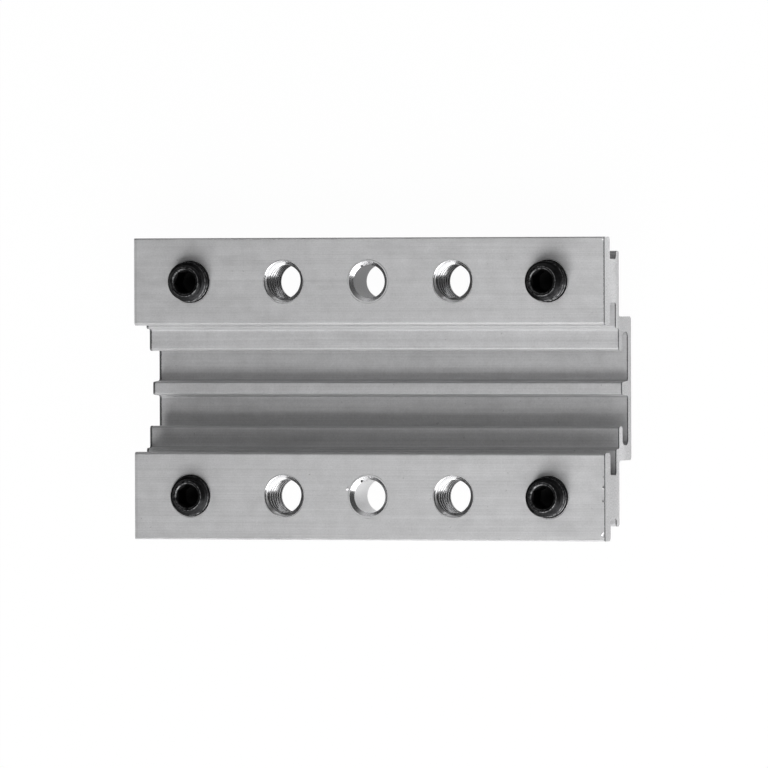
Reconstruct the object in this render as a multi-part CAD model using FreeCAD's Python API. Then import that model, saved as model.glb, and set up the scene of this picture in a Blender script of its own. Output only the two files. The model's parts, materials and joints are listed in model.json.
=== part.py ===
# Straight joining plate: a sawn length of aluminium extrusion that slides into the
# slots of two rails butted end to end, and four socket set screws that clamp it there.
#
# Frame: X along the extrusion, Y across the two flanges, Z up out of the back face.
# The origin is the centre of the back face, which the plate rests on. Millimetres.
import FreeCAD
import Part
import math
import os

# Extruded section, across the plate
BODY_LENGTH = 100.0
BODY_WIDTH = 60.0
FLANGE_WIDTH = 17.4
SHELF_SETBACK = 2.8
SHELF_TOE = 0.7
WEB_THICKNESS = 8.6
BACK_SETBACK = 15.8
SIDE_WALL = 3.0
LIP_GAP = 15.0
RIB_ROOT_WIDTH = 3.0
RIB_TIP_WIDTH = 2.5

# Extruded section, from the back face up
BACK_THICKNESS = 1.8
GROOVE_HEIGHT = 3.2
LIP_THICKNESS = 1.9
SHELF_THICKNESS = 1.7
RIM_SLOT_HEIGHT = 3.4
FLANGE_THICKNESS = 3.0
RIB_HEIGHT = 3.4

# Corner radii of the die
FLANGE_EDGE_RADIUS = 0.3
FLANGE_TIP_RADIUS = 0.6
FLANGE_HEEL_RADIUS = 0.8
BACK_CORNER_RADIUS = 0.8
LIP_RADIUS = 0.6
SHELF_RADIUS = 0.6
SLOT_ROOT_RADIUS = 0.5
GROOVE_ROOT_RADIUS = 1.1
STEP_RADIUS = 0.5
RIB_TIP_RADIUS = 0.4
RIB_ROOT_RADIUS = 0.5

# Holes down the middle of each flange: clamped, tapped, plain, tapped, clamped
THREAD_DIAMETER = 8.0
THREAD_MOUTH_CHAMFER = 0.2
PLAIN_HOLE_DIAMETER = 6.6
PLAIN_MOUTH_CHAMFER = 0.75
PLAIN_EXIT_CHAMFER = 0.2
CLAMP_HOLE_END_DISTANCE = 12.0
TAPPED_HOLE_OFFSET = 18.0

# Socket set screws with a cup point
SCREW_CLEARANCE = 0.05
SCREW_LENGTH = 10.0
SOCKET_END_CHAMFER = 1.0
SOCKET_ACROSS_FLATS = 4.0
SOCKET_DEPTH = 4.5
SOCKET_MOUTH_DIAMETER = 5.1
DRILL_POINT_ANGLE = 120.0
CUP_DIAMETER = 5.0
CUP_ANGLE = 120.0

# How far each screw stands out of the flange, and how its socket is turned
SCREWS = {
    "set_screw_left_front": {"side": -1, "end": -1, "proud": 2.1, "turn": 8.0},
    "set_screw_right_front": {"side": -1, "end": 1, "proud": 3.4, "turn": 41.0},
    "set_screw_left_rear": {"side": 1, "end": -1, "proud": 3.1, "turn": 23.0},
    "set_screw_right_rear": {"side": 1, "end": 1, "proud": 3.6, "turn": 52.0},
}

# Heights that the section's walls stack up to
GROOVE_FLOOR = BACK_THICKNESS
LIP_UNDERSIDE = GROOVE_FLOOR + GROOVE_HEIGHT
SEAT = LIP_UNDERSIDE + LIP_THICKNESS
SHELF_TOP = SEAT + SHELF_THICKNESS
FLANGE_UNDERSIDE = SHELF_TOP + RIM_SLOT_HEIGHT
FLANGE_TOP = FLANGE_UNDERSIDE + FLANGE_THICKNESS

# Distances of the section's walls from its middle
FLANGE_OUTSIDE = BODY_WIDTH / 2
FLANGE_INSIDE = FLANGE_OUTSIDE - FLANGE_WIDTH
HOLE_LINE = (FLANGE_OUTSIDE + FLANGE_INSIDE) / 2
WEB_OUTSIDE = HOLE_LINE + WEB_THICKNESS / 2
WEB_INSIDE = HOLE_LINE - WEB_THICKNESS / 2
SHELF_OUTSIDE = FLANGE_OUTSIDE - SHELF_SETBACK
SHELF_INSIDE = FLANGE_INSIDE - SHELF_TOE
BACK_SIDE = FLANGE_OUTSIDE - BACK_SETBACK
GROOVE_SIDE = BACK_SIDE - SIDE_WALL
LIP_TIP = LIP_GAP / 2

CLAMP_HOLE_X = BODY_LENGTH / 2 - CLAMP_HOLE_END_DISTANCE
# The most of a wall's run that the rounding of one of its corners may take
ROUNDING_SHARE = 0.45
# Every cutter runs this far past the face that it leaves through
OVERRUN = 1.0


def half_section():
    """Corners of the section at +Y, from the middle of the back face round to the middle of the rib,
    each as distance from the middle, height and corner radius."""
    return [
        (BACK_SIDE, 0, BACK_CORNER_RADIUS),
        (BACK_SIDE, SEAT, SHELF_RADIUS),
        (SHELF_OUTSIDE, SEAT, SHELF_RADIUS),
        (SHELF_OUTSIDE, SHELF_TOP, SHELF_RADIUS),
        (WEB_OUTSIDE, SHELF_TOP, SLOT_ROOT_RADIUS),
        (WEB_OUTSIDE, FLANGE_UNDERSIDE, SLOT_ROOT_RADIUS),
        (FLANGE_OUTSIDE, FLANGE_UNDERSIDE, FLANGE_HEEL_RADIUS),
        (FLANGE_OUTSIDE, FLANGE_TOP, FLANGE_EDGE_RADIUS),
        (FLANGE_INSIDE, FLANGE_TOP, FLANGE_TIP_RADIUS),
        (FLANGE_INSIDE, FLANGE_UNDERSIDE, FLANGE_HEEL_RADIUS),
        (WEB_INSIDE, FLANGE_UNDERSIDE, SLOT_ROOT_RADIUS),
        (WEB_INSIDE, SHELF_TOP, SLOT_ROOT_RADIUS),
        (SHELF_INSIDE, SHELF_TOP, STEP_RADIUS),
        (SHELF_INSIDE, SEAT, STEP_RADIUS),
        (LIP_TIP, SEAT, LIP_RADIUS),
        (LIP_TIP, LIP_UNDERSIDE, LIP_RADIUS),
        (GROOVE_SIDE, LIP_UNDERSIDE, GROOVE_ROOT_RADIUS),
        (GROOVE_SIDE, GROOVE_FLOOR, GROOVE_ROOT_RADIUS),
        (RIB_ROOT_WIDTH / 2, GROOVE_FLOOR, RIB_ROOT_RADIUS),
        (RIB_TIP_WIDTH / 2, GROOVE_FLOOR + RIB_HEIGHT, RIB_TIP_RADIUS),
    ]


def rounded_corner(before, corner, after, radius):
    """The arc that rounds a corner, no larger than its two walls leave room for, and its tangent points."""
    shorter_run = min((before - corner).Length, (after - corner).Length)
    towards_before = (before - corner).normalize()
    towards_after = (after - corner).normalize()
    half_angle = towards_before.getAngle(towards_after) / 2
    setback = min(radius / math.tan(half_angle), ROUNDING_SHARE * shorter_run)
    radius = setback * math.tan(half_angle)
    start = corner + towards_before * setback
    end = corner + towards_after * setback
    bisector = (towards_before + towards_after).normalize()
    middle = corner + bisector * (radius / math.sin(half_angle) - radius)
    return Part.Arc(start, middle, end), start, end


def rounded_outline(corners):
    """A closed wire in the YZ plane through (y, z, radius) corners, each rounded by its own arc."""
    points = [FreeCAD.Vector(0, y, z) for y, z, radius in corners]
    arcs = [
        rounded_corner(points[i - 1], points[i], points[(i + 1) % len(points)], corners[i][2])
        for i in range(len(points))
    ]
    edges = []
    for i, (arc, start, end) in enumerate(arcs):
        edges.append(arc.toShape())
        next_start = arcs[(i + 1) % len(arcs)][1]
        edges.append(Part.LineSegment(end, next_start).toShape())
    return Part.Wire(edges)


def extrusion():
    """The section run along X, centred on the origin."""
    right = half_section()
    left = [(-y, z, radius) for y, z, radius in reversed(right)]
    section = Part.Face(rounded_outline(right + left))
    section.translate(FreeCAD.Vector(-BODY_LENGTH / 2, 0, 0))
    return section.extrude(FreeCAD.Vector(BODY_LENGTH, 0, 0))


def hole_cutter(diameter, mouth_chamfer, exit_chamfer):
    """A cutter on the Z axis for a hole from the flange's top down through the seat,
    countersunk at 45 degrees at both ends."""
    radius = diameter / 2
    depth = FLANGE_TOP - SEAT
    bore = Part.makeCylinder(
        radius, depth + 2 * OVERRUN, FreeCAD.Vector(0, 0, SEAT - OVERRUN)
    )
    mouth = Part.makeCone(
        radius,
        radius + mouth_chamfer + OVERRUN,
        mouth_chamfer + OVERRUN,
        FreeCAD.Vector(0, 0, FLANGE_TOP - mouth_chamfer),
    )
    exit_cone = Part.makeCone(
        radius + exit_chamfer + OVERRUN,
        radius,
        exit_chamfer + OVERRUN,
        FreeCAD.Vector(0, 0, SEAT - OVERRUN),
    )
    return bore.fuse([mouth, exit_cone])


def thread_hole_cutter():
    """The bore of a threaded hole at its full thread diameter."""
    return hole_cutter(THREAD_DIAMETER, THREAD_MOUTH_CHAMFER, THREAD_MOUTH_CHAMFER)


def plain_hole_cutter():
    """The hole in the middle of a flange, drilled but left without a thread."""
    return hole_cutter(PLAIN_HOLE_DIAMETER, PLAIN_MOUTH_CHAMFER, PLAIN_EXIT_CHAMFER)


def joiner_body():
    """The extrusion with its two rows of five holes."""
    cutters = []
    for side in (-1, 1):
        for end in (-1, 1):
            for x in (CLAMP_HOLE_X, TAPPED_HOLE_OFFSET):
                cutter = thread_hole_cutter()
                cutter.translate(FreeCAD.Vector(end * x, side * HOLE_LINE, 0))
                cutters.append(cutter)
        cutter = plain_hole_cutter()
        cutter.translate(FreeCAD.Vector(0, side * HOLE_LINE, 0))
        cutters.append(cutter)
    return extrusion().cut(cutters)


def turned_shape(profile):
    """A solid of revolution about Z from a closed list of (radius, height) points."""
    points = [FreeCAD.Vector(r, 0, z) for r, z in profile]
    outline = Part.makePolygon(points + points[:1])
    return Part.Face(outline).revolve(
        FreeCAD.Vector(0, 0, 0), FreeCAD.Vector(0, 0, 1), 360
    )


def hexagon(across_flats, height):
    """A face across a hexagonal socket at the given height."""
    corner_radius = across_flats / math.sqrt(3)
    corners = [
        FreeCAD.Vector(
            corner_radius * math.cos(math.radians(60 * i)),
            corner_radius * math.sin(math.radians(60 * i)),
            height,
        )
        for i in range(6)
    ]
    return Part.Face(Part.makePolygon(corners + corners[:1]))


def set_screw():
    """A set screw on the Z axis with its socket end at height 0 and its cup point below."""
    radius = THREAD_DIAMETER / 2 - SCREW_CLEARANCE
    cup_radius = CUP_DIAMETER / 2
    point_chamfer = radius - cup_radius
    cup_depth = cup_radius / math.tan(math.radians(CUP_ANGLE / 2))
    blank = turned_shape(
        [
            (0, 0),
            (radius - SOCKET_END_CHAMFER, 0),
            (radius, -SOCKET_END_CHAMFER),
            (radius, -SCREW_LENGTH + point_chamfer),
            (cup_radius, -SCREW_LENGTH),
            (0, -SCREW_LENGTH + cup_depth),
        ]
    )
    socket = hexagon(SOCKET_ACROSS_FLATS, -SOCKET_DEPTH).extrude(
        FreeCAD.Vector(0, 0, SOCKET_DEPTH + OVERRUN)
    )
    drilled_radius = SOCKET_ACROSS_FLATS / 2
    drill_point = drilled_radius / math.tan(math.radians(DRILL_POINT_ANGLE / 2))
    drilled = turned_shape(
        [
            (0, OVERRUN),
            (drilled_radius, OVERRUN),
            (drilled_radius, -SOCKET_DEPTH),
            (0, -SOCKET_DEPTH - drill_point),
        ]
    )
    mouth_radius = SOCKET_MOUTH_DIAMETER / 2
    mouth = Part.makeCone(
        0,
        mouth_radius + OVERRUN,
        mouth_radius + OVERRUN,
        FreeCAD.Vector(0, 0, -mouth_radius),
    )
    return blank.cut([socket, drilled, mouth])


def placed_screw(place):
    """A set screw turned and seated in its hole."""
    screw = set_screw()
    screw.rotate(FreeCAD.Vector(0, 0, 0), FreeCAD.Vector(0, 0, 1), place["turn"])
    screw.translate(
        FreeCAD.Vector(
            place["end"] * CLAMP_HOLE_X,
            place["side"] * HOLE_LINE,
            FLANGE_TOP + place["proud"],
        )
    )
    return screw


def main():
    os.makedirs("parts", exist_ok=True)
    joiner_body().exportStep("parts/joiner_body.step")
    for name, place in SCREWS.items():
        placed_screw(place).exportStep("parts/" + name + ".step")


main()
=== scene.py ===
import json
import math
import random

import bmesh
import bpy
from mathutils import Matrix, Vector


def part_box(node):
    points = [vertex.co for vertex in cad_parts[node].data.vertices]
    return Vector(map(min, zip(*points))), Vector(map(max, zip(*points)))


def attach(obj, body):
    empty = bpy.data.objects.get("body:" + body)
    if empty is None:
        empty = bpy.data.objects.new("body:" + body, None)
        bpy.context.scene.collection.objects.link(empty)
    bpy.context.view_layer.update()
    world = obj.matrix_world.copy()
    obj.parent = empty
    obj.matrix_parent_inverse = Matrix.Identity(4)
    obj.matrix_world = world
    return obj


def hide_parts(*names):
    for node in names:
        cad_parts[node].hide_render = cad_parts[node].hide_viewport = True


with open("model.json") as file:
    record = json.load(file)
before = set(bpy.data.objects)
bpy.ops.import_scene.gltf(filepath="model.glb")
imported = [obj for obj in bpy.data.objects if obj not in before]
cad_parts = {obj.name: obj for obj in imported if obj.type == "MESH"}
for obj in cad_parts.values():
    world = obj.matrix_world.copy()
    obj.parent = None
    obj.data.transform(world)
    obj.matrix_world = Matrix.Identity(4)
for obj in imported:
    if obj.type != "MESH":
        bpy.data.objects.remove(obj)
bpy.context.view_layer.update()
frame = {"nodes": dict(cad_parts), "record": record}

MM = 0.001
MOUNTS = {mount["name"]: mount for mount in frame["record"]["mounts"]}
BODY_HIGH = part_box("joiner_body")[1]
FLANGE_TOP = BODY_HIGH.z
END_X = BODY_HIGH.x
SCREW_NODES = sorted(name for name in frame["nodes"] if name.startswith("set_screw"))

# The height of the seats that the holes run down to, as in the solids
SEAT = 6.9 * MM
HOLE_LINE = MOUNTS["tapped_holes"]["dims"]["spacing_y_mm"] / 2 * MM
TAPPED_X = MOUNTS["tapped_holes"]["dims"]["spacing_x_mm"] / 2 * MM
CLAMP_X = max((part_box(name)[0].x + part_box(name)[1].x) / 2 for name in SCREW_NODES)

# M8 coarse thread
PITCH = 1.25 * MM
THREAD_RADIUS = MOUNTS["tapped_holes"]["dims"]["hole_r_mm"] * MM
BORE_CREST_RADIUS = 3.32 * MM
# Where a turn starts on the side of +X, measured down from the flange's top
THREAD_START = 0.3 * MM
MOUTH_CHAMFER = 0.2 * MM
# How far the cones that trim the thread narrow for each millimetre of depth, at the mouth and at the exit
MOUTH_STEEPNESS = 1.7
EXIT_STEEPNESS = 3
# The groove reaches a little past the bore's wall, and the outside of the cut metal lies deeper in it
GROOVE_ROOM = 0.01 * MM
SLEEVE_BURIED = 0.06 * MM
SCREW_RADIUS = 3.95 * MM
SCREW_ROOT_RADIUS = 3.25 * MM
# Points round each thread: a multiple of six, so that the socket's corners stay sharp
ROUND = 96

# Points nearer than this are one, and an edge that turns by more than this is sharp
WELD_DISTANCE = 0.002 * MM
SHARP_ANGLE = math.radians(35)


def srgb(code, alpha=1.0):
    """A colour written as a hex code, turned to the linear values that shaders use."""
    channels = [int(code[i:i + 2], 16) / 255 for i in (1, 3, 5)]
    linear = [c / 12.92 if c <= 0.04045 else ((c + 0.055) / 1.055) ** 2.4 for c in channels]
    return (*linear, alpha)


def mesh_object(name, points, faces):
    """An object made of points and faces."""
    mesh = bpy.data.meshes.new(name)
    mesh.from_pydata(points, [], faces)
    obj = bpy.data.objects.new(name, mesh)
    bpy.context.scene.collection.objects.link(obj)
    return obj


def stacked_rings(name, below, helix, above, closed_below=None, closed_above=None, closed_round=False):
    """A surface through rings of ROUND points each, from the lowest to the highest: plain rings below
    and above, and between them rings that climb one pitch a turn, so that each ends where the ring one
    turn up starts. closed_below and closed_above are points that the end rings close on. closed_round
    joins the last ring to the first."""
    rings = below + helix + above
    climbing = range(len(below), len(below) + len(helix))
    # The screw's profile has as many points
    per_turn = len(INTERNAL_PROFILE)
    faces = []

    def start_of_next(i):
        """The point that follows the last one of ring i."""
        if i in climbing:
            i = min(i + per_turn, climbing[-1])
        return i * ROUND

    pairs = [(i, i + 1) for i in range(len(rings) - 1)]
    if closed_round:
        pairs.append((len(rings) - 1, 0))
    for i, k in pairs:
        for j in range(ROUND - 1):
            faces.append((i * ROUND + j, i * ROUND + j + 1, k * ROUND + j + 1, k * ROUND + j))
        faces.append((i * ROUND + ROUND - 1, start_of_next(i), start_of_next(k), k * ROUND + ROUND - 1))
    points = [point for level in rings for point in level]
    last = (len(rings) - 1) * ROUND
    if closed_below is not None:
        points.append(closed_below)
        faces += [(len(points) - 1, (j + 1) % ROUND, j) for j in range(ROUND)]
    if closed_above is not None:
        points.append(closed_above)
        faces += [(len(points) - 1, last + j, last + (j + 1) % ROUND) for j in range(ROUND)]
    return mesh_object(name, points, faces)


def angle_at(j):
    """The angle of point j of a ring."""
    return 2 * math.pi * j / ROUND


def around(radius, angle, height):
    """A point at this distance from the Z axis."""
    return (radius * math.cos(angle), radius * math.sin(angle), height)


def ring(radius, height):
    """A level ring about the Z axis."""
    return [around(radius, angle_at(j), height) for j in range(ROUND)]


# One turn of a 60-degree thread: share of the pitch, and share of the way from the smaller radius to the
# larger. The screw's crest runs in the hole's groove, which leaves it a little room all round.
EXTERNAL_PROFILE = ((0.0, 0.0), (0.10, 0.01), (0.18, 0.08), (0.43, 0.93), (0.46, 1.0), (0.54, 1.0),
                    (0.57, 0.93), (0.82, 0.08), (0.90, 0.01))
INTERNAL_PROFILE = ((0.0, 0.0), (0.13, 0.0), (0.17, 0.05), (0.42, 0.93), (0.45, 1.0), (0.55, 1.0),
                    (0.58, 0.93), (0.83, 0.05), (0.87, 0.0))


def thread_rings(profile, root, crest, low, high, shape, phase_height):
    """Sheared rings that follow a right-hand helix, so that its crest is a true line.
    shape(radius, height) trims the radius at the thread's two ends. phase_height is where a turn starts
    at angle zero. It is the same for a screw and its hole, so that they mesh."""
    first_turn = math.floor((low - phase_height) / PITCH) - 1
    last_turn = math.ceil((high - phase_height) / PITCH) + 1
    rings = []
    for turn in range(first_turn, last_turn):
        for share, rise in profile:
            level = []
            for j in range(ROUND):
                height = phase_height + (turn + share + j / ROUND) * PITCH
                height = min(max(height, low), high)
                radius = shape(root + (crest - root) * rise, height)
                level.append(around(radius, angle_at(j), height))
            rings.append(level)
    return rings


def thread_sleeve(name, x, y, phase_height):
    """The cut thread of one hole: a thin sleeve whose inside is the thread and whose outside is buried
    in the wall of the bore. The small countersink at the top trims its first turn, and the broken edge
    at the bottom its last."""
    low = SEAT + MOUTH_CHAMFER
    high = FLANGE_TOP - MOUTH_CHAMFER

    def shape(radius, height):
        mouth_cone = THREAD_RADIUS - MOUTH_STEEPNESS * (high - height)
        exit_cone = THREAD_RADIUS - EXIT_STEEPNESS * (height - low)
        return max(radius, mouth_cone, exit_cone)

    inside = thread_rings(INTERNAL_PROFILE, BORE_CREST_RADIUS, THREAD_RADIUS + GROOVE_ROOM, low, high,
                          shape, phase_height)
    outside = [ring(THREAD_RADIUS + SLEEVE_BURIED, high), ring(THREAD_RADIUS + SLEEVE_BURIED, low)]
    obj = stacked_rings(name, [], inside, outside, closed_round=True)
    place_on_axis(obj, x, y)
    clean(obj)
    return obj


def place_on_axis(obj, x, y):
    """Moves a mesh that was made about the Z axis to a hole's axis."""
    obj.data.transform(Matrix.Translation((x, y, 0)))
    obj.data.update()


def clean(obj):
    """Joins points that fell together where a thread was trimmed, drops the faces that vanished, turns
    the others to face outward and shades all but the sharp edges smooth."""
    mesh = bmesh.new()
    mesh.from_mesh(obj.data)
    bmesh.ops.remove_doubles(mesh, verts=mesh.verts, dist=WELD_DISTANCE)
    bmesh.ops.dissolve_degenerate(mesh, edges=mesh.edges, dist=WELD_DISTANCE)
    bmesh.ops.recalc_face_normals(mesh, faces=mesh.faces)
    mesh.to_mesh(obj.data)
    mesh.free()
    obj.data.shade_smooth()
    obj.data.set_sharp_from_angle(angle=SHARP_ANGLE)


# Socket set screw, from its socket end down
SOCKET_ACROSS_FLATS = 4.0 * MM
SOCKET_DEPTH = 4.5 * MM
SOCKET_DRILL_POINT = 1.15 * MM
SOCKET_END_CHAMFER = 1.0 * MM
SOCKET_MOUTH_RADIUS = 2.62 * MM
CUP_RADIUS = 2.5 * MM
CUP_DEPTH = 1.44 * MM
# Where the cup is drawn, as shares of its radius, and where its edge meets the point's chamfer
CUP_SHARES = (0.5, 0.96)
CUP_EDGE_SHARE = 0.99
# How far the thread stays from the two end faces
POINT_EDGE = 0.02 * MM
SOCKET_END_EDGE = 0.06 * MM
# The worn edge of the socket's end face: how far in from the chamfer and how far down
END_FACE_EDGE = ((0.03 * MM, 0.01 * MM), (0.12 * MM, 0.0))
# The broken edge of the socket's mouth: its width and its drop
MOUTH_EDGE_WIDTH = 0.04 * MM
MOUTH_EDGE_DROP = 0.02 * MM
# How far the hexagon's flats stand out from the round hole that was drilled before them
BROACH_STEP = 0.02 * MM


def hexagon_radius(angle):
    """Distance from the middle of the socket to its wall in one direction."""
    from_flat = (angle % (math.pi / 3)) - math.pi / 6
    return SOCKET_ACROSS_FLATS / 2 / math.cos(from_flat)


def hexagon_ring(turn, height_at):
    """The socket's six-sided outline. height_at(radius) is its height where the wall is that far out."""
    points = []
    for j in range(ROUND):
        radius = hexagon_radius(angle_at(j))
        points.append(around(radius, angle_at(j) + turn, height_at(radius)))
    return points


def set_screw(node, phase_height):
    """One set screw with its thread, chamfers, hexagonal socket and cup point, where its solid stands."""
    low_corner, high_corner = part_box(node)
    x = (low_corner.x + high_corner.x) / 2
    y = (low_corner.y + high_corner.y) / 2
    low = low_corner.z
    high = high_corner.z
    random.seed(node)
    turn = random.uniform(0, math.pi / 3)
    end_radius = SCREW_RADIUS - SOCKET_END_CHAMFER

    def shape(radius, height):
        socket_end = end_radius + (high - height)
        point_end = CUP_RADIUS + (height - low)
        return min(radius, socket_end, point_end)

    thread = thread_rings(EXTERNAL_PROFILE, SCREW_ROOT_RADIUS, SCREW_RADIUS, low + POINT_EDGE,
                          high - SOCKET_END_EDGE, shape, phase_height)

    def mouth_height(radius):
        return high - (SOCKET_MOUTH_RADIUS - radius) - MOUTH_EDGE_DROP

    def floor_height(radius):
        return high - SOCKET_DEPTH

    socket = [ring(end_radius - inward, high - down) for inward, down in END_FACE_EDGE]
    socket += [
        ring(SOCKET_MOUTH_RADIUS + MOUTH_EDGE_WIDTH, high),
        turned(ring(SOCKET_MOUTH_RADIUS, high - MOUTH_EDGE_DROP), turn),
        hexagon_ring(turn, mouth_height),
        hexagon_ring(turn, floor_height),
        turned(ring(SOCKET_ACROSS_FLATS / 2 - BROACH_STEP, high - SOCKET_DEPTH), turn),
    ]
    point = [ring(CUP_RADIUS * share, low + CUP_DEPTH * (1 - share)) for share in CUP_SHARES]
    point.append(ring(CUP_RADIUS * CUP_EDGE_SHARE, low))
    cup_bottom = (0, 0, low + CUP_DEPTH)
    socket_bottom = (0, 0, high - SOCKET_DEPTH - SOCKET_DRILL_POINT)
    obj = stacked_rings(node + "_threaded", point, thread, socket, cup_bottom, socket_bottom)
    place_on_axis(obj, x, y)
    clean(obj)
    return obj


def turned(points, turn):
    """Points turned about the Z axis."""
    matrix = Matrix.Rotation(turn, 3, "Z")
    return [tuple(matrix @ Vector(point)) for point in points]


# How many lengths a burr is drawn in, and how far it is sunk into what it stands on, in millimetres
BURR_STEPS = 10
BURR_SUNK = Vector((0, 0, 0.05))


def burr(name, x, y, z, length, width, height, turn_degrees):
    """A torn flake of metal left by the drill or the saw: a low curled tongue, three-sided across, that
    stands on the surface at (x, y, z), in millimetres."""
    random.seed(name)
    turn = math.radians(turn_degrees)
    along = Vector((math.cos(turn), math.sin(turn), 0))
    across = Vector((-math.sin(turn), math.cos(turn), 0))
    points = []
    for i in range(BURR_STEPS + 1):
        share = i / BURR_STEPS
        middle = Vector((x, y, z)) + along * (share - 0.5) * length
        # It tapers to blunt ends, rises more steeply than it falls, and curls to one side
        taper = math.sin(math.pi * (0.08 + 0.84 * share))
        rise = math.sin(math.pi * (0.04 + 0.92 * share ** 0.7))
        curl = across * width * 0.25 * math.sin(2.5 * share)
        half_width = width / 2 * taper * random.uniform(0.7, 1.0)
        crest = Vector((0, 0, height * rise * random.uniform(0.75, 1.0)))
        points += [middle - across * half_width - BURR_SUNK,
                   middle + curl + crest,
                   middle + across * half_width - BURR_SUNK]
    faces = []
    for i in range(BURR_STEPS):
        here = 3 * i
        after = here + 3
        for k in range(3):
            beside = (k + 1) % 3
            faces.append((here + k, here + beside, after + beside, after + k))
    last = 3 * BURR_STEPS
    faces += [(2, 1, 0), (last, last + 1, last + 2)]
    obj = mesh_object(name, [tuple(point * MM) for point in points], faces)
    clean(obj)
    return obj


# Materials


def add(tree, kind, settings=None, links=None):
    """A shader node. settings gives its sockets or properties values, and links what feeds its sockets."""
    node = tree.nodes.new("ShaderNode" + kind)
    for name, value in (settings or {}).items():
        if isinstance(name, int) or name in node.inputs:
            node.inputs[name].default_value = value
        else:
            setattr(node, name, value)
    for name, output in (links or {}).items():
        tree.links.new(output, node.inputs[name])
    return node


def new_material(name):
    """A material with an empty tree but for its Principled shader."""
    material = bpy.data.materials.new(name)
    material.use_nodes = True
    tree = material.node_tree
    return material, tree, tree.nodes["Principled BSDF"]


def position_in_millimetres(tree):
    """Where a point is on its piece, at rest: a vector, and the same as three numbers."""
    coordinates = add(tree, "TexCoord").outputs["Object"]
    vector = add(tree, "VectorMath", {"operation": "SCALE", "Scale": 1 / MM},
                 {0: coordinates}).outputs[0]
    return vector, add(tree, "SeparateXYZ", links={0: vector}).outputs


def distance_from_holes(tree, along, across):
    """Distance in millimetres to the axis of the nearest hole of either row, for numbers along and
    across the plate. A fold halfway between the tapped hole and the clamp's hole lays one on the other,
    at each end."""
    from_middle = add(tree, "Math", {"operation": "ABSOLUTE"}, {0: along}).outputs[0]
    fold_place = (CLAMP_X + TAPPED_X) / 2 / MM
    fold_reach = (CLAMP_X - TAPPED_X) / 2 / MM
    past_fold = add(tree, "Math", {"operation": "SUBTRACT", 1: fold_place}, {0: from_middle}).outputs[0]
    from_fold = add(tree, "Math", {"operation": "ABSOLUTE"}, {0: past_fold}).outputs[0]
    to_tapped = add(tree, "Math", {"operation": "SUBTRACT", 1: fold_reach}, {0: from_fold}).outputs[0]
    to_tapped = add(tree, "Math", {"operation": "ABSOLUTE"}, {0: to_tapped}).outputs[0]
    nearest = add(tree, "Math", {"operation": "MINIMUM"}, {0: to_tapped, 1: from_middle}).outputs[0]
    from_centre = add(tree, "Math", {"operation": "ABSOLUTE"}, {0: across}).outputs[0]
    to_row = add(tree, "Math", {"operation": "SUBTRACT", 1: HOLE_LINE / MM}, {0: from_centre}).outputs[0]
    flat = add(tree, "CombineXYZ", links={"X": nearest, "Y": to_row}).outputs[0]
    return add(tree, "VectorMath", {"operation": "LENGTH"}, {0: flat}).outputs["Value"]


def two_tones(tree, factor, low, high, dark, light):
    """A colour that runs from dark to light while the factor goes from low to high."""
    ramp = add(tree, "ValToRGB", links={0: factor})
    ramp.color_ramp.elements[0].position = low
    ramp.color_ramp.elements[0].color = srgb(dark)
    ramp.color_ramp.elements[1].position = high
    ramp.color_ramp.elements[1].color = srgb(light)
    return ramp.outputs[0]


def nearness(tree, value, target, near, far, most):
    """A share that is most where a number is within near of the target, and none where it is far off."""
    off = add(tree, "Math", {"operation": "SUBTRACT", 1: target}, {0: value}).outputs[0]
    off = add(tree, "Math", {"operation": "ABSOLUTE"}, {0: off}).outputs[0]
    return add(tree, "MapRange", {"From Min": near, "From Max": far, "To Min": most, "To Max": 0.0},
               {"Value": off}).outputs[0]


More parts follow.
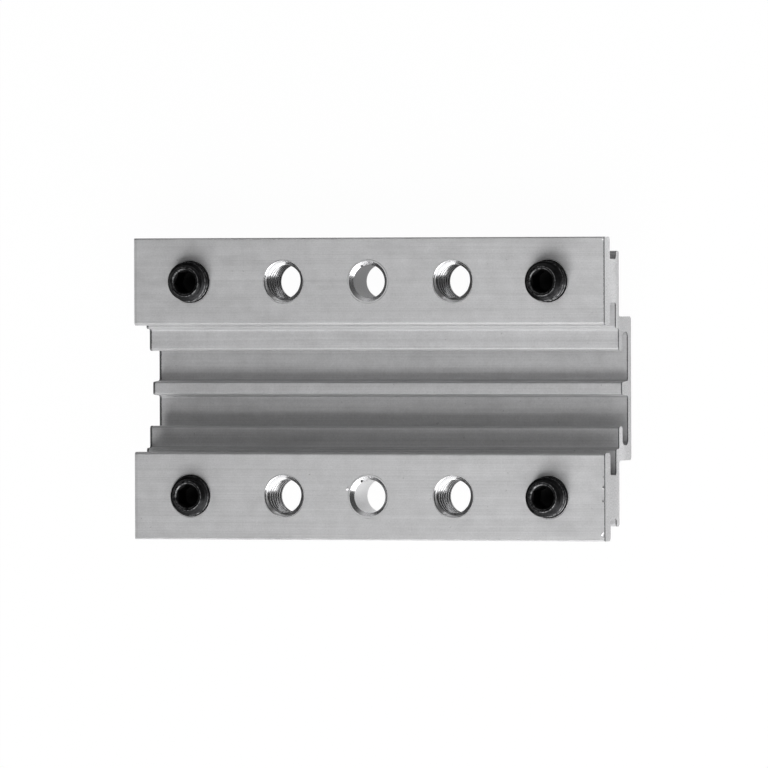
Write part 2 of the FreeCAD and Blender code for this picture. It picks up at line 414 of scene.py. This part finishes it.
def extruded_aluminium():
    """6063 aluminium as it leaves the die: a grey, half-matt metal with faint lines along the extrusion.
    The sawn ends are speckled and their edges carry a band of painted shade, the die's roundings carry
    painted shade too, the drilled walls are smooth, and a few smudges and specks of grime lie about."""
    material, tree, shader = new_material("mill_finish_extruded_aluminium")
    millimetres, place = position_in_millimetres(tree)
    normal = add(tree, "NewGeometry").outputs["True Normal"]
    facing = add(tree, "SeparateXYZ", links={0: normal}).outputs

    # Die lines 0.2 mm apart that run 50 mm, and broader streaks 1 mm apart that run 80 mm
    fine = add(tree, "VectorMath", {"operation": "MULTIPLY", 1: (0.02, 5.0, 5.0)},
               {0: millimetres}).outputs[0]
    die_lines = add(tree, "TexNoise", {"Scale": 1.0, "Detail": 3.0, "Roughness": 0.6},
                    {"Vector": fine}).outputs[0]
    broad = add(tree, "VectorMath", {"operation": "MULTIPLY", 1: (0.012, 1.0, 1.0)},
                {0: millimetres}).outputs[0]
    streaks = add(tree, "TexNoise", {"Scale": 1.0, "Detail": 2.0}, {"Vector": broad}).outputs[0]
    lines = add(tree, "Mix", {"data_type": "FLOAT", 0: 0.4}, {2: die_lines, 3: streaks}).outputs[0]

    # Clouds 3 mm across, and grit 0.3 mm across, which is also how far apart the saw's marks are
    clouds = add(tree, "TexNoise", {"Scale": 0.35, "Detail": 5.0, "Roughness": 0.7},
                 {"Vector": millimetres}).outputs[0]
    grit = add(tree, "TexNoise", {"Scale": 3.0, "Detail": 3.0, "Roughness": 0.7},
               {"Vector": millimetres}).outputs[0]
    tone = add(tree, "Mix", {"data_type": "FLOAT", 0: 0.4}, {2: lines, 3: clouds}).outputs[0]
    tone = add(tree, "Mix", {"data_type": "FLOAT", 0: 0.3}, {2: tone, 3: grit}).outputs[0]
    mill = two_tones(tree, tone, 0.38, 0.62, "#c0c0c1", "#d8d8d9")

    # Sawn ends, speckled by the blade's teeth
    sawn_colour = two_tones(tree, grit, 0.35, 0.68, "#b7b7b8", "#d8d8d9")
    end_facing = add(tree, "Math", {"operation": "ABSOLUTE"}, {0: facing["X"]}).outputs[0]
    sawn = add(tree, "Math", {"operation": "GREATER_THAN", 1: 0.9}, {0: end_facing}).outputs[0]
    colour = add(tree, "Mix", {"data_type": "RGBA"}, {0: sawn, 6: mill, 7: sawn_colour}).outputs[2]

    # Painted shade: a dark band 0.2 mm wide round the right-hand end, and one 0.4 mm wide round the
    # left-hand end, stands in for the shadow and dark reflection of the saw's burr on the sawn edges.
    # Along the flanges' tops at the left-hand end it is mostly left off. out is how far a point lies from
    # the plate's middle, plus or minus a ragged wobble that follows the grit
    out = add(tree, "Math", {"operation": "ABSOLUTE"}, {0: place["X"]}).outputs[0]
    ragged = add(tree, "Math", {"operation": "MULTIPLY_ADD", 1: 0.3, 2: -0.15}, {0: grit}).outputs[0]
    out = add(tree, "Math", {"operation": "ADD"}, {0: out, 1: ragged}).outputs[0]
    left = add(tree, "Math", {"operation": "LESS_THAN", 1: 0.0}, {0: place["X"]}).outputs[0]
    out = add(tree, "Math", {"operation": "MULTIPLY_ADD", 1: 0.2}, {0: left, 2: out}).outputs[0]
    torn = add(tree, "MapRange", {"From Min": END_X / MM - 0.28, "From Max": END_X / MM - 0.18,
                                  "To Min": 0.0, "To Max": 0.85}, {"Value": out}).outputs[0]
    on_top = add(tree, "Math", {"operation": "GREATER_THAN", 1: FLANGE_TOP / MM - 1.0},
                 {0: place["Z"]}).outputs[0]
    lightened = add(tree, "Math", {"operation": "MULTIPLY"}, {0: left, 1: on_top}).outputs[0]
    arris_shade = add(tree, "Mix", {"data_type": "FLOAT", 3: 0.1}, {0: lightened, 2: torn}).outputs[0]
    on_edge = add(tree, "Math", {"operation": "GREATER_THAN", 1: END_X / MM - 0.35},
                  {0: out}).outputs[0]
    arris_shade = add(tree, "Math", {"operation": "MULTIPLY"}, {0: arris_shade, 1: on_edge}).outputs[0]
    not_sawn = add(tree, "Math", {"operation": "SUBTRACT", 0: 1.0}, {1: sawn}).outputs[0]
    arris_shade = add(tree, "Math", {"operation": "MULTIPLY"}, {0: arris_shade, 1: not_sawn}).outputs[0]
    # The dark band of painted shade on the sawn edges
    colour = add(tree, "Mix", {"data_type": "RGBA", 7: srgb("#3c3c3d")},
                 {0: arris_shade, 6: colour}).outputs[2]

    # Painted shade on the die's roundings and fillets, where a face is neither level nor upright: it dims
    # their highlights
    level = add(tree, "Math", {"operation": "ABSOLUTE"}, {0: facing["Z"]}).outputs[0]
    upright = add(tree, "Math", {"operation": "ABSOLUTE"}, {0: facing["Y"]}).outputs[0]
    flat = add(tree, "Math", {"operation": "MAXIMUM"}, {0: level, 1: upright}).outputs[0]
    rounding_shade = add(tree, "MapRange", {"From Min": 0.88, "From Max": 0.98, "To Min": 0.5, "To Max": 0.0},
                  {"Value": flat}).outputs[0]
    rounding_shade = add(tree, "Math", {"operation": "MULTIPLY"}, {0: rounding_shade, 1: not_sawn}).outputs[0]
    colour = add(tree, "Mix", {"data_type": "RGBA", 7: srgb("#9b9b9c")},
                 {0: rounding_shade, 6: colour}).outputs[2]

    # Handling smudges, 14 mm long and 6 mm across
    stretched = add(tree, "VectorMath", {"operation": "MULTIPLY", 1: (0.07, 0.16, 0.16)},
                    {0: millimetres}).outputs[0]
    smudge = add(tree, "TexNoise", {"Scale": 1.0, "Detail": 5.0, "Roughness": 0.65},
                 {"Vector": stretched}).outputs[0]
    smudge = add(tree, "MapRange", {"From Min": 0.56, "From Max": 0.74, "To Min": 0.0, "To Max": 0.25},
                 {"Value": smudge}).outputs[0]
    colour = add(tree, "Mix", {"data_type": "RGBA", 7: srgb("#a3a3a4")},
                 {0: smudge, 6: colour}).outputs[2]

    # Specks of grime, 0.4 mm across with bent outlines: one in a cell 2 mm wide, in a quarter of the cells
    bent = add(tree, "TexNoise", {"Scale": 2.2, "Detail": 2.0}, {"Vector": millimetres}).outputs["Color"]
    bent = add(tree, "VectorMath", {"operation": "SCALE", "Scale": 0.8}, {0: bent}).outputs[0]
    bent = add(tree, "VectorMath", {"operation": "ADD"}, {0: bent, 1: millimetres}).outputs[0]
    cells = add(tree, "TexVoronoi", {"Scale": 0.5, "Randomness": 1.0}, {"Vector": bent})
    near_centre = add(tree, "MapRange",
                      {"From Min": 0.03, "From Max": 0.10, "To Min": 0.4, "To Max": 0.0},
                      {"Value": cells.outputs["Distance"]}).outputs[0]
    chosen = add(tree, "SeparateColor", links={0: cells.outputs["Color"]}).outputs[0]
    chosen = add(tree, "Math", {"operation": "GREATER_THAN", 1: 0.75}, {0: chosen}).outputs[0]
    speck = add(tree, "Math", {"operation": "MULTIPLY"}, {0: near_centre, 1: chosen}).outputs[0]
    colour = add(tree, "Mix", {"data_type": "RGBA", 7: srgb("#5c5c5d")},
                 {0: speck, 6: colour}).outputs[2]

    # A dull, broken ring 0.2 mm wide where the countersink dragged round each mouth, on the flanges' tops
    from_holes = distance_from_holes(tree, place["X"], place["Y"])
    ring_radius = 4.33
    dragged = nearness(tree, from_holes, ring_radius, near=0.04, far=0.12, most=1.0)
    broken = add(tree, "MapRange", {"From Min": 0.42, "From Max": 0.6, "To Min": 0.0, "To Max": 0.6},
                 {"Value": clouds}).outputs[0]
    dragged = add(tree, "Math", {"operation": "MULTIPLY"}, {0: dragged, 1: broken}).outputs[0]
    outer_face = add(tree, "Math", {"operation": "GREATER_THAN", 1: FLANGE_TOP / MM - 0.1},
                     {0: place["Z"]}).outputs[0]
    dragged = add(tree, "Math", {"operation": "MULTIPLY"}, {0: dragged, 1: outer_face}).outputs[0]
    colour = add(tree, "Mix", {"data_type": "RGBA", 7: srgb("#6e6e6f")},
                 {0: dragged, 6: colour}).outputs[2]

    # Drilled walls and countersinks are clean, and smoother than what the die leaves
    near_hole = add(tree, "Math", {"operation": "LESS_THAN", 1: THREAD_RADIUS / MM + 0.25},
                    {0: from_holes}).outputs[0]
    off_level = add(tree, "Math", {"operation": "LESS_THAN", 1: 0.9}, {0: facing["Z"]}).outputs[0]
    bored = add(tree, "Math", {"operation": "MULTIPLY"}, {0: near_hole, 1: off_level}).outputs[0]
    colour = add(tree, "Mix", {"data_type": "RGBA", 7: srgb("#d8d8d9")},
                 {0: bored, 6: colour}).outputs[2]
    tree.links.new(colour, shader.inputs["Base Color"])

    roughness = add(tree, "MapRange", {"From Min": 0.3, "From Max": 0.7, "To Min": 0.57, "To Max": 0.63},
                    {"Value": clouds}).outputs[0]
    roughness = add(tree, "Mix", {"data_type": "FLOAT", 3: 0.2}, {0: bored, 2: roughness}).outputs[0]
    tree.links.new(roughness, shader.inputs["Roughness"])
    shader.inputs["Metallic"].default_value = 1.0

    # The die lines spread what it reflects across the extrusion
    shader.inputs["Anisotropic"].default_value = 0.55
    tangent = add(tree, "Tangent", {"direction_type": "RADIAL", "axis": "X"})
    tree.links.new(tangent.outputs[0], shader.inputs["Tangent"])

    # Bump: die lines on the extruded faces, teeth marks on the sawn ones
    relief = add(tree, "Mix", {"data_type": "FLOAT"}, {0: sawn, 2: lines, 3: grit}).outputs[0]
    depth = add(tree, "Mix", {"data_type": "FLOAT", 2: 0.2, 3: 0.5}, {0: sawn}).outputs[0]
    bump = add(tree, "Bump", {"Distance": 0.01 * MM}, {"Height": relief, "Strength": depth})
    tree.links.new(bump.outputs[0], shader.inputs["Normal"])
    return material


def black_oxide_steel():
    """Alloy steel blackened in a hot salt bath and oiled: nearly black with a soft sheen, worn a little
    lighter on the thread's crests and round the end face, with painted shade that makes it dead black down
    in the socket. Distances are from the screw's axis, in millimetres."""
    material, tree, shader = new_material("black_oxide_alloy_steel")
    millimetres, place = position_in_millimetres(tree)
    # Mottle 0.6 mm across
    mottle = add(tree, "TexNoise", {"Scale": 1.8, "Detail": 5.0, "Roughness": 0.65},
                 {"Vector": millimetres}).outputs[0]
    colour = two_tones(tree, mottle, 0.35, 0.7, "#141415", "#272728")
    from_axis = distance_from_holes(tree, place["X"], place["Y"])

    crest = add(tree, "MapRange", {"From Min": 3.78, "From Max": 3.93}, {"Value": from_axis}).outputs[0]
    end_face_edge = 2.9
    rim = nearness(tree, from_axis, end_face_edge, near=0.05, far=0.12, most=1.0)
    socket_mouth = 2.5
    mouth = nearness(tree, from_axis, socket_mouth, near=0.08, far=0.16, most=0.8)
    edges = add(tree, "Math", {"operation": "MAXIMUM"}, {0: crest, 1: rim}).outputs[0]
    edges = add(tree, "Math", {"operation": "MAXIMUM"}, {0: edges, 1: mouth}).outputs[0]
    lightened = add(tree, "MapRange", {"From Min": 0.4, "From Max": 0.62}, {"Value": mottle}).outputs[0]
    wear = add(tree, "Math", {"operation": "MULTIPLY"}, {0: edges, 1: lightened}).outputs[0]
    colour = add(tree, "Mix", {"data_type": "RGBA", 7: srgb("#747475")}, {0: wear, 6: colour}).outputs[2]

    # Painted shade: within 2.4 mm of the axis, down in the socket, the steel is made dead black
    socket = add(tree, "MapRange", {"From Min": 2.30, "From Max": 2.40, "To Min": 0.95, "To Max": 0.0},
                 {"Value": from_axis}).outputs[0]
    colour = add(tree, "Mix", {"data_type": "RGBA", 7: srgb("#060606")},
                 {0: socket, 6: colour}).outputs[2]
    tree.links.new(colour, shader.inputs["Base Color"])
    shader.inputs["Metallic"].default_value = 0.9
    roughness = add(tree, "Mix", {"data_type": "FLOAT", 2: 0.36, 3: 0.55}, {0: socket}).outputs[0]
    tree.links.new(roughness, shader.inputs["Roughness"])
    bump = add(tree, "Bump", {"Strength": 0.15, "Distance": 0.02 * MM}, {"Height": mottle})
    tree.links.new(bump.outputs[0], shader.inputs["Normal"])
    return material


def cut_thread():
    """The tapped walls, and the burrs: bare bright metal left by the tool, dull on the crests, and
    darkened by painted shade in the roots below the mouth."""
    material, tree, shader = new_material("tapped_aluminium_thread")
    millimetres, place = position_in_millimetres(tree)
    # Mottle 0.4 mm across
    mottle = add(tree, "TexNoise", {"Scale": 2.5, "Detail": 3.0}, {"Vector": millimetres}).outputs[0]
    colour = two_tones(tree, mottle, 0.3, 0.7, "#b4b4b5", "#cdcdce")
    from_axis = distance_from_holes(tree, place["X"], place["Y"])
    # Painted shade: the thread's roots below the mouth are darkened, standing in for the shade in the
    # grooves
    root = add(tree, "MapRange", {"From Min": 3.36, "From Max": 3.6, "To Min": 0.0, "To Max": 0.75},
               {"Value": from_axis}).outputs[0]
    below_mouth = add(tree, "Math", {"operation": "LESS_THAN", 1: FLANGE_TOP / MM - 0.5},
                      {0: place["Z"]}).outputs[0]
    root = add(tree, "Math", {"operation": "MULTIPLY"}, {0: root, 1: below_mouth}).outputs[0]
    colour = add(tree, "Mix", {"data_type": "RGBA", 7: srgb("#6a6a6b")}, {0: root, 6: colour}).outputs[2]
    crest = add(tree, "MapRange", {"From Min": 3.34, "From Max": 3.37, "To Min": 0.85, "To Max": 0.0},
                {"Value": from_axis}).outputs[0]
    colour = add(tree, "Mix", {"data_type": "RGBA", 7: srgb("#a2a2a3")},
                 {0: crest, 6: colour}).outputs[2]
    tree.links.new(colour, shader.inputs["Base Color"])
    shader.inputs["Metallic"].default_value = 1.0
    roughness = add(tree, "Mix", {"data_type": "FLOAT", 2: 0.32, 3: 0.2}, {0: below_mouth}).outputs[0]
    tree.links.new(roughness, shader.inputs["Roughness"])
    return material


def packed_swarf():
    """Fine aluminium swarf held in dried cutting oil: dark, rough and only partly metallic, with chips
    0.2 mm across."""
    material, tree, shader = new_material("swarf_in_dried_cutting_oil")
    millimetres = position_in_millimetres(tree)[0]
    grain = add(tree, "TexNoise", {"Scale": 6.0, "Detail": 3.0}, {"Vector": millimetres}).outputs[0]
    colour = two_tones(tree, grain, 0.35, 0.65, "#1c1c1c", "#4a4a4a")
    tree.links.new(colour, shader.inputs["Base Color"])
    shader.inputs["Metallic"].default_value = 0.4
    shader.inputs["Roughness"].default_value = 0.6
    return material


def pale_floor():
    """A matt white sheet. The eye sees it as the white background, with a faint shadow of the plate.
    Reflections see it as it is lit, with a small share of the same white."""
    material, tree, shader = new_material("white_paper_floor")
    shader.inputs["Base Color"].default_value = srgb("#f2f2f2")
    shader.inputs["Roughness"].default_value = 0.9
    glow = add(tree, "Emission", {"Color": (1, 1, 1, 1), "Strength": 1.0})
    path = add(tree, "LightPath").outputs
    seen = add(tree, "Math", {"operation": "MAXIMUM"},
               {0: path["Is Camera Ray"], 1: path["Is Transmission Ray"]}).outputs[0]
    seen = add(tree, "Math", {"operation": "MULTIPLY", 1: 0.98}, {0: seen}).outputs[0]
    mirrored = add(tree, "Math", {"operation": "MULTIPLY", 1: 0.15},
                   {0: path["Is Glossy Ray"]}).outputs[0]
    share = add(tree, "Math", {"operation": "MAXIMUM"}, {0: seen, 1: mirrored}).outputs[0]
    mix = add(tree, "MixShader", links={0: share, 1: shader.outputs[0], 2: glow.outputs[0]})
    tree.links.new(mix.outputs[0], tree.nodes["Material Output"].inputs["Surface"])
    return material


# Pieces
aluminium = extruded_aluminium()
thread_metal = cut_thread()
steel = black_oxide_steel()

body = frame["nodes"]["joiner_body"]
body.data.materials.clear()
body.data.materials.append(aluminium)

for side_name, side in (("front", -1), ("rear", 1)):
    for place_name, hole_x in (("left_end", -CLAMP_X), ("left", -TAPPED_X), ("right", TAPPED_X),
                               ("right_end", CLAMP_X)):
        sleeve = thread_sleeve(f"thread_{place_name}_{side_name}", hole_x, side * HOLE_LINE,
                               FLANGE_TOP - THREAD_START)
        sleeve.data.materials.append(thread_metal)
        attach(sleeve, "plate")

for node in SCREW_NODES:
    screw = set_screw(node, FLANGE_TOP - THREAD_START)
    screw.data.materials.append(steel)
    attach(screw, node)
    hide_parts(node)

# Burrs left by the countersink and the saw: place, length, width, height and direction, in millimetres
# and degrees
TOP = FLANGE_TOP / MM
ROW = HOLE_LINE / MM
BURRS = {
    "burr_beside_front_plain_hole": (-4.4, -ROW + 1.5, TOP, 0.95, 0.60, 0.35, 65),
    "burr_below_front_plain_hole": (0.95, -ROW - 4.35, TOP, 0.90, 0.22, 0.08, -50),
    "burr_on_sawn_edge_right": (49.62, -19.4, TOP, 0.90, 0.50, 0.28, 80),
    "burr_on_sawn_edge_right_low": (49.55, -22.1, TOP, 0.70, 0.45, 0.24, 100),
    "burr_on_sawn_edge_right_high": (49.7, -17.3, TOP, 0.60, 0.30, 0.16, 85),
    "burr_on_sawn_corner": (49.35, -28.7, TOP, 1.60, 0.40, 0.25, 62),
    "burr_on_sawn_corner_low": (49.65, -29.3, TOP, 0.80, 0.30, 0.20, 65),
    "burr_on_sawn_rear_corner": (49.6, 29.4, TOP, 0.50, 0.35, 0.12, 20),
}
for name, (x, y, z, length, width, height, direction) in BURRS.items():
    flake = burr(name, x, y, z, length, width, height, direction)
    flake.data.materials.append(thread_metal)
    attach(flake, "plate")

# Swarf and oil that stayed in the mouths of three holes
GRIME = {
    "grime_in_front_plain_mouth": (-1.6, -ROW + 3.0, TOP - 0.62, 0.75, 0.45, 0.30, 30),
    "grime_in_rear_plain_mouth": (-1.5, ROW + 3.05, TOP - 0.62, 0.65, 0.40, 0.28, 25),
    "grime_in_right_front_mouth": (TAPPED_X / MM + 0.2, -ROW - 3.5, TOP - 0.42, 0.45, 0.35, 0.25, 10),
}
residue = packed_swarf()
for name, (x, y, z, length, width, height, direction) in GRIME.items():
    lump = burr(name, x, y, z, length, width, height, direction)
    lump.data.materials.append(residue)
    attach(lump, "plate")

# Floor, light and camera
FLOOR_SIZE = 6.0
FLOOR_BELOW = 0.02 * MM
bpy.ops.mesh.primitive_plane_add(size=FLOOR_SIZE, location=(0, 0, -FLOOR_BELOW))
floor = bpy.context.object
floor.name = "floor"
floor.data.materials.append(pale_floor())

# A dark room round the white floor, with a pale band above the horizon all round but on the left. The eye
# sees white everywhere.
HORIZON_GLOW = 0.65
ROOM_GLOW = 0.06
BAND_FULL_BELOW = math.radians(9)
BAND_GONE_ABOVE = math.radians(14)
world = bpy.data.worlds.new("studio")
bpy.context.scene.world = world
world.use_nodes = True
sky = world.node_tree
direction = add(sky, "TexCoord").outputs["Generated"]
toward = add(sky, "SeparateXYZ", links={0: direction}).outputs
band = add(sky, "MapRange", {"From Min": math.sin(BAND_FULL_BELOW), "From Max": math.sin(BAND_GONE_ABOVE),
                             "To Min": 1.0, "To Max": 0.0}, {"Value": toward["Z"]}).outputs[0]
not_left = add(sky, "MapRange", {"From Min": -0.8, "From Max": -0.3}, {"Value": toward["X"]}).outputs[0]
band = add(sky, "Math", {"operation": "MULTIPLY"}, {0: band, 1: not_left}).outputs[0]
glow = add(sky, "Mix", {"data_type": "FLOAT", 2: ROOM_GLOW, 3: HORIZON_GLOW}, {0: band}).outputs[0]
path = add(sky, "LightPath").outputs
seen = add(sky, "Math", {"operation": "MAXIMUM"},
           {0: path["Is Camera Ray"], 1: path["Is Transmission Ray"]}).outputs[0]
glow = add(sky, "Math", {"operation": "MAXIMUM"}, {0: glow, 1: seen}).outputs[0]
sky.nodes["Background"].inputs["Color"].default_value = (1, 1, 1, 1)
sky.links.new(glow, sky.nodes["Background"].inputs["Strength"])


def softbox(name, toward_right, above_floor, distance, width, height, radiance, behind=False):
    """A rectangular soft lamp aimed at the plate. Angles are in degrees: toward_right from straight in
    front, or from straight behind. radiance is what a mirror would show of it."""
    lamp = bpy.data.lights.new(name, "AREA")
    lamp.shape = "RECTANGLE"
    lamp.size = width
    lamp.size_y = height
    lamp.energy = radiance * math.pi * width * height
    obj = bpy.data.objects.new(name, lamp)
    bpy.context.scene.collection.objects.link(obj)
    turn = math.radians(toward_right)
    rise = math.radians(above_floor)
    away = 1 if behind else -1
    obj.location = Vector((math.sin(turn) * math.cos(rise), away * math.cos(turn) * math.cos(rise),
                           math.sin(rise))) * distance
    obj.rotation_mode = "QUATERNION"
    obj.rotation_quaternion = (-obj.location).to_track_quat("-Z", "Y")


softbox("key_softbox", toward_right=19, above_floor=40, distance=0.8, width=1.35, height=0.85,
        radiance=4.0)
softbox("fill_softbox", toward_right=20, above_floor=68, distance=0.9, width=1.1, height=0.5,
        radiance=1.0, behind=True)

# The camera looks down on the plate from over its right-hand end
CAMERA_DISTANCE = 2.5
CAMERA_TOWARD_RIGHT = math.radians(21.2)
CAMERA_TOWARD_REAR = math.radians(0.6)
CAMERA_ROLL = math.radians(-0.2)
PIXELS_PER_MM = 5.033
IMAGE_SIZE = 768
SENSOR_WIDTH = 36.0
camera_data = bpy.data.cameras.new("camera")
camera_data.sensor_width = SENSOR_WIDTH
camera_data.lens = SENSOR_WIDTH * CAMERA_DISTANCE / (IMAGE_SIZE / PIXELS_PER_MM * MM)
camera = bpy.data.objects.new("camera", camera_data)
bpy.context.scene.collection.objects.link(camera)
target = Vector((0, 0, FLANGE_TOP / 2))
back = Vector((math.sin(CAMERA_TOWARD_RIGHT) * math.cos(CAMERA_TOWARD_REAR),
               math.sin(CAMERA_TOWARD_REAR),
               math.cos(CAMERA_TOWARD_RIGHT) * math.cos(CAMERA_TOWARD_REAR)))
right = Vector((0, 1, 0)).cross(back).normalized()
up = back.cross(right)
right, up = (right * math.cos(CAMERA_ROLL) + up * math.sin(CAMERA_ROLL),
             up * math.cos(CAMERA_ROLL) - right * math.sin(CAMERA_ROLL))
# The plate's middle is this far right of the picture's middle and below it, in pixels
CENTRE_RIGHT = -2.2
CENTRE_BELOW = 4.5
aim = target - right * (CENTRE_RIGHT / PIXELS_PER_MM * MM) + up * (CENTRE_BELOW / PIXELS_PER_MM * MM)
turned_to_plate = Matrix((right, up, back)).transposed().to_4x4()
camera.matrix_world = Matrix.Translation(aim + back * CAMERA_DISTANCE) @ turned_to_plate
camera_data.clip_start = 0.1
camera_data.clip_end = 20
bpy.context.scene.camera = camera
bpy.context.scene.view_settings.view_transform = "Standard"
